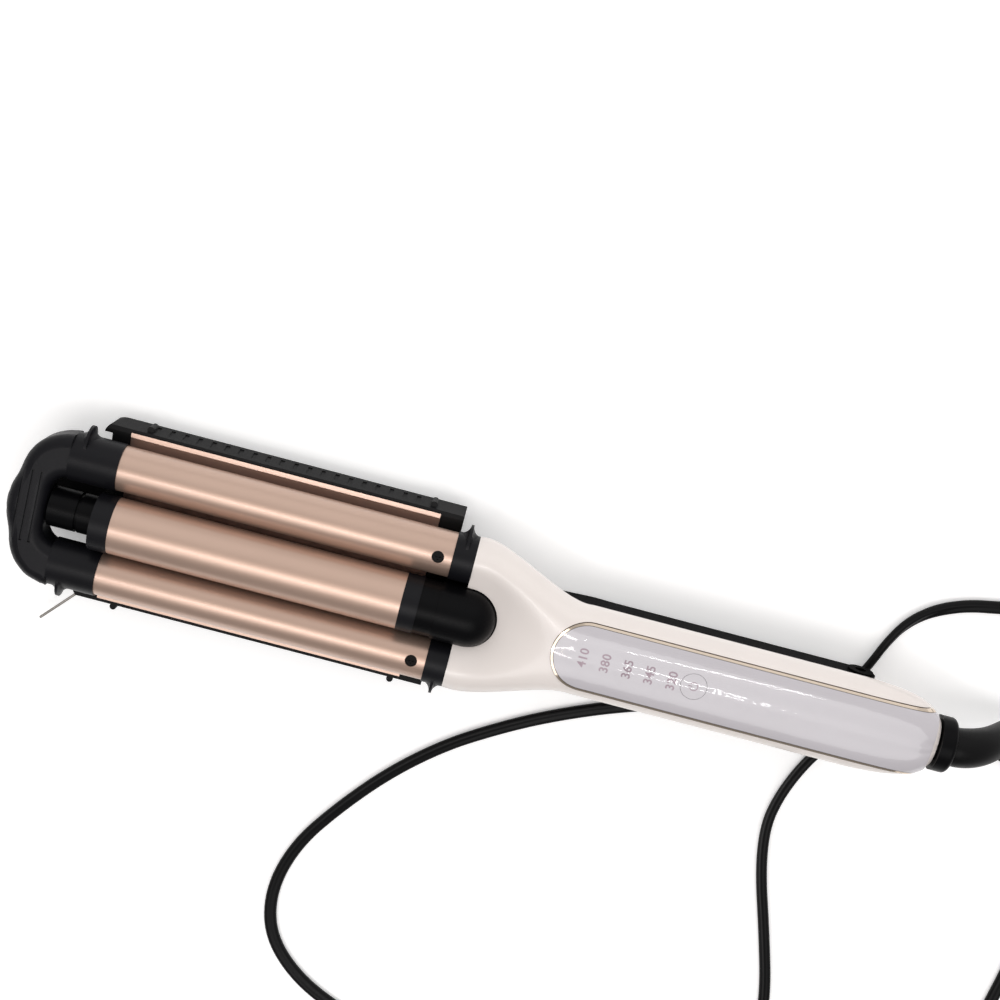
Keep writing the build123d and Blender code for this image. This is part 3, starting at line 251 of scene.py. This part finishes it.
# ---------------------------------------------------------------- supply cord
# the route in millimetres and how far the flat cord is turned on edge there, in degrees
cord_route = [
    (272.5, 6.2, 11.5, 90), (276.4, 7.9, 6.0, 80), (284.0, 11.0, 2.7, 70), (294.8, 17.6, 2.4, 50),
    (299.8, 30.0, 2.2, 40), (296.0, 42.0, 1.9, 22), (285.4, 50.0, 1.7, 10), (271.8, 50.3, 1.6, 5),
    (259.5, 46.8, 1.6, 5), (247.0, 44.5, 1.6, 12), (235.5, 39.5, 2.0, 40), (227.6, 32.5, 2.3, 62),
    (222.8, 23.5, 2.4, 70), (219.4, 13.5, 2.4, 62), (214.2, 2.5, 2.2, 45), (207.8, -7.5, 1.9, 25),
    (198.0, -15.3, 1.6, 10), (184.5, -18.3, 1.5, 0), (167.5, -18.6, 1.5, 0),
    (148.7, -21.4, 1.5, 0), (129.8, -28.4, 1.5, 0), (110.5, -37.4, 1.5, 4), (94.0, -46.9, 1.6, 8),
    (77.5, -58.0, 1.7, 15), (60.5, -73.8, 1.7, 18), (45.5, -92.5, 1.7, 18),
    (33.5, -111.0, 1.6, 12), (28.2, -131.0, 1.6, 8), (31.5, -149.5, 1.6, 8),
    (44.0, -163.5, 1.7, 15), (61.5, -173.0, 1.7, 18), (84.0, -179.5, 1.7, 18),
    (112.0, -183.5, 1.7, 18), (142.0, -184.5, 1.7, 18), (171.0, -181.5, 1.7, 18),
    (196.0, -173.5, 1.8, 25), (214.0, -160.0, 2.0, 40), (223.0, -142.5, 2.1, 50),
    (221.0, -123.0, 2.1, 50), (213.0, -98.0, 2.1, 52), (204.5, -74.0, 2.2, 58),
    (201.2, -57.0, 2.3, 66), (202.3, -45.5, 2.4, 74), (206.0, -33.5, 2.4, 78),
    (211.5, -22.3, 2.4, 78), (219.0, -13.5, 2.4, 75), (230.0, -8.0, 2.2, 50),
    (244.0, -5.5, 1.9, 25), (261.0, -4.0, 1.6, 8), (277.0, -6.0, 1.5, 0), (291.0, -14.0, 1.5, 0),
    (301.0, -29.0, 1.5, 0), (306.5, -49.0, 1.5, 0), (307.0, -72.0, 1.5, 0),
    (304.5, -95.0, 1.5, 0), (301.5, -116.0, 1.5, 0),
]
coil_x, coil_y = 268.0, -150.0
whole_turns = 5
coil_start = 26.0
coil_end = -90.0 - 360.0 * whole_turns
coil_steps = 80
coil_unevenness = 0.25
uneven_pitch = 1.7
# up to which share of the coil, then its radius and its height there
coil_turns = [
    (0.19, 29.5, 1.6), (0.35, 24.8, 1.6), (0.51, 24.8, 4.75),
    (0.68, 29.5, 4.75), (0.84, 24.9, 7.9), (1.01, 29.4, 7.9),
]
for step in range(coil_steps + 1):
    share = step / coil_steps
    angle = math.radians(coil_start + (coil_end - coil_start) * share)
    radius, z = next((radius, z) for end, radius, z in coil_turns if share < end)
    radius += coil_unevenness * math.sin(step * uneven_pitch)
    cord_route.append((coil_x + radius * math.cos(angle), coil_y + radius * math.sin(angle), z, 0))
cord_route += [(252.0, -180.0, 7.9, 0), (239.0, -182.0, 6.6, 0)]
cord_rise = 0.15  # of the whole route above the heights given
curve_order = 3
curve_resolution = 10

curve = bpy.data.curves.new("cord_line", "CURVE")
curve.dimensions = "3D"
spline = curve.splines.new("NURBS")
spline.points.add(len(cord_route) - 1)
for point, (x, y, z, _) in zip(spline.points, cord_route):
    point.co = (x * MM, y * MM, (z + cord_rise) * MM, 1)
spline.order_u = curve_order
spline.use_endpoint_u = True
spline.resolution_u = curve_resolution
line_object = bpy.data.objects.new("cord_line", curve)
line_mesh = bpy.data.meshes.new_from_object(line_object)
line = [vertex.co.copy() for vertex in line_mesh.vertices]
bpy.data.objects.remove(line_object)
bpy.data.meshes.remove(line_mesh)
bpy.data.curves.remove(curve)


lobe_radius = 1.5
lobe_offset = 0.9  # of each lobe's centre from the cord's middle
section_points = 20


def twin_section():
    """Outline of a flat twin flex: two round lobes side by side, in millimetres."""
    outline = []
    for step in range(section_points):
        angle = 2 * math.pi * (step + 0.5) / section_points
        across, upward = math.cos(angle), math.sin(angle)
        centre = lobe_offset if across >= 0 else -lobe_offset
        reach = centre * across + math.sqrt(lobe_radius**2 - (lobe_offset * upward) ** 2)
        outline.append((across * reach, upward * reach))
    return outline


def sweep(line, section, turn_at):
    """Closed mesh of a section carried along a line.

    turn_at gives the section's roll in radians at a share of the line.
    """
    mesh = bmesh.new()
    rings = []
    for index, point in enumerate(line):
        ahead = line[min(index + 1, len(line) - 1)]
        behind = line[max(index - 1, 0)]
        heading = (ahead - behind).normalized()
        level = heading.cross(Vector((0, 0, 1))).normalized()
        upright = level.cross(heading).normalized()
        roll = turn_at(index / (len(line) - 1))
        across = level * math.cos(roll) + upright * math.sin(roll)
        high = heading.cross(across) * -1
        rings.append([mesh.verts.new(point + (across * u + high * v) * MM) for u, v in section])
    for a, b in zip(rings, rings[1:]):
        for k in range(len(section)):
            j = (k + 1) % len(section)
            mesh.faces.new((a[k], a[j], b[j], b[k]))
    mesh.faces.new(list(reversed(rings[0])))
    mesh.faces.new(rings[-1])
    bmesh.ops.recalc_face_normals(mesh, faces=mesh.faces)
    result = bpy.data.meshes.new("sweep")
    mesh.to_mesh(result)
    mesh.free()
    return result


rolls = [math.radians(point[3]) for point in cord_route]


def roll_at(share):
    """The cord's roll between the two nearest points of its route."""
    place = share * (len(rolls) - 1)
    low = min(int(place), len(rolls) - 2)
    return rolls[low] + (rolls[low + 1] - rolls[low]) * (place - low)


cord_mesh = sweep(line, twin_section(), roll_at)
cord = piece("flat_cord", cord_mesh, cord_black, "upper_arm")
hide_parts("supply_cord", "cord_tail", "cord_coil")


# ---------------------------------------------------------------- panel figures
figures = ("410", "380", "365", "345", "320")
figure_start = 115.6
figure_pitch = 7.9
figure_size = 4.3 * MM
figure_spacing = 1.08
figure_thickening = 0.07 * MM
print_lift = 0.00004  # of a print over the gloss
drop_height = 0.2  # above the whole part
button_x = 154.9
sign_inner, sign_outer = 1.25, 1.55
sign_steps = 24
sign_half_opening = 32
stroke_corners = [(-2.0, -0.15), (-0.5, -0.15), (-0.5, 0.15), (-2.0, 0.15)]


def surface_tree(*names):
    """Search tree of the faces of some nodes."""
    points, faces = [], []
    for name in names:
        mesh = nodes[name].data
        base = len(points)
        points += [vertex.co.copy() for vertex in mesh.vertices]
        faces += [[base + k for k in face.vertices] for face in mesh.polygons]
    return BVHTree.FromPolygons(points, faces)


panel_skin = surface_tree("panel_lens", "power_button")


def lay_on_panel(name, mesh):
    """Drops a flat mesh onto the panel's gloss surface as a thin print."""
    shape = bmesh.new()
    shape.from_mesh(mesh)
    bmesh.ops.triangulate(shape, faces=shape.faces)
    bmesh.ops.subdivide_edges(shape, edges=shape.edges, cuts=1)
    for vertex in shape.verts:
        above = Vector((vertex.co.x, vertex.co.y, drop_height))
        hit = panel_skin.ray_cast(above, Vector((0, 0, -1)))[0]
        if hit is not None:
            vertex.co.z = hit.z + print_lift
    shape.to_mesh(mesh)
    shape.free()
    return piece(name, mesh, digit_mauve, "upper_arm", smooth=False)


for index, text in enumerate(figures):
    letters = bpy.data.curves.new("figures", "FONT")
    letters.body = text
    letters.size = figure_size
    letters.align_x = "CENTER"
    letters.align_y = "CENTER"
    letters.space_character = figure_spacing
    letters.offset = figure_thickening
    words = bpy.data.objects.new("figures", letters)
    flat = bpy.data.meshes.new_from_object(words)
    place = Vector((figure_start + figure_pitch * index, 0, 0)) * MM
    flat.transform(Matrix.Translation(place) @ Matrix.Rotation(math.radians(90), 4, "Z"))
    lay_on_panel(f"panel_figure_{index + 1}", flat)
    bpy.data.objects.remove(words)
    bpy.data.curves.remove(letters)

# power sign: an open ring and a stroke
sign = bmesh.new()
ring = []
for step in range(sign_steps + 1):
    swept = (360 - 2 * sign_half_opening) * step / sign_steps
    angle = math.radians(180 + sign_half_opening + swept)
    ring.append([sign.verts.new(Vector((math.cos(angle) * r, math.sin(angle) * r, 0)) * MM)
                 for r in (sign_inner, sign_outer)])
for a, b in zip(ring, ring[1:]):
    sign.faces.new((a[0], a[1], b[1], b[0]))
sign.faces.new([sign.verts.new(Vector((x, y, 0)) * MM) for x, y in stroke_corners])
sign_mesh = bpy.data.meshes.new("power_sign")
sign.to_mesh(sign_mesh)
sign.free()
sign_mesh.transform(Matrix.Translation(Vector((button_x, 0, 0)) * MM))
lay_on_panel("power_sign", sign_mesh).parent = frame["bodies"]["power_button"]

# ---------------------------------------------------------------- floor and light
floor_half = 4
floor_gap = 0.0003  # under the part
floor_glow = 0.3
floor_mesh = bpy.data.meshes.new("floor")
floor_mesh.from_pydata(
    [(x * floor_half, y * floor_half, 0) for x, y in ((-1, -1), (1, -1), (1, 1), (-1, 1))],
    [],
    [(0, 1, 2, 3)],
)
floor_mesh.materials.append(material("floor", (0.95, 0.95, 0.95), 0.9, emission=floor_glow))
floor = bpy.data.objects.new("floor", floor_mesh)
floor.location = (0, 0, -floor_gap)
collection.objects.link(floor)

# the room is lighter on the side away from the key
room_colour = (1, 0.985, 0.975)
room_span = 0.8
room_dark, room_light = 0.28, 0.86
world = bpy.data.worlds.new("world")
world.use_nodes = True
background = world.node_tree.nodes["Background"]
background.inputs["Color"].default_value = (*room_colour, 1)
direction = world.node_tree.nodes.new("ShaderNodeTexCoord")
sideways = world.node_tree.nodes.new("ShaderNodeSeparateXYZ")
room = world.node_tree.nodes.new("ShaderNodeMapRange")
room.inputs["From Min"].default_value = -room_span
room.inputs["From Max"].default_value = room_span
room.inputs["To Min"].default_value = room_dark
room.inputs["To Max"].default_value = room_light
world.node_tree.links.new(direction.outputs["Generated"], sideways.inputs["Vector"])
world.node_tree.links.new(sideways.outputs["Y"], room.inputs["Value"])
world.node_tree.links.new(room.outputs["Result"], background.inputs["Strength"])
bpy.context.scene.world = world


def area_light(name, place, target, size, power, colour=(1, 1, 1)):
    """Rectangular lamp at a place, aimed at a target, with its power in watts."""
    light = bpy.data.lights.new(name, "AREA")
    light.shape = "RECTANGLE"
    light.size, light.size_y = size
    light.energy = power
    light.color = colour
    lamp = bpy.data.objects.new(name, light)
    lamp.location = place
    aim = Vector(target) - Vector(place)
    lamp.rotation_euler = aim.to_track_quat("-Z", "Y").to_euler()
    collection.objects.link(lamp)


warm, rosy = (1.0, 0.82, 0.55), (1.0, 0.93, 0.93)
for lamp_settings in (
    # name, place, target, size, power, colour
    ("key", (0.2, -0.38, 1.3), (0.2, 0, 0), (1.5, 0.8), 6),
    ("fill", (0.1, 1.35, 1.1), (0.1, 0, 0), (2.4, 1.6), 4),
    ("panel streak", (0.41, -0.224, 1.5), (0.18, 0, 0), (0.34, 0.008), 0.3),
    ("panel streak", (0.41, -0.19, 1.5), (0.18, 0, 0), (0.34, 0.008), 0.3),
    ("barrel streak", (-0.13, -0.33, 1.5), (0, 0, 0), (0.66, 0.10), 2.2, rosy),
    ("barrel line", (-0.13, -0.06, 1.5), (0, 0, 0), (0.66, 0.014), 0.25, warm),
):
    area_light(*lamp_settings)

bpy.context.scene.view_settings.view_transform = "Standard"
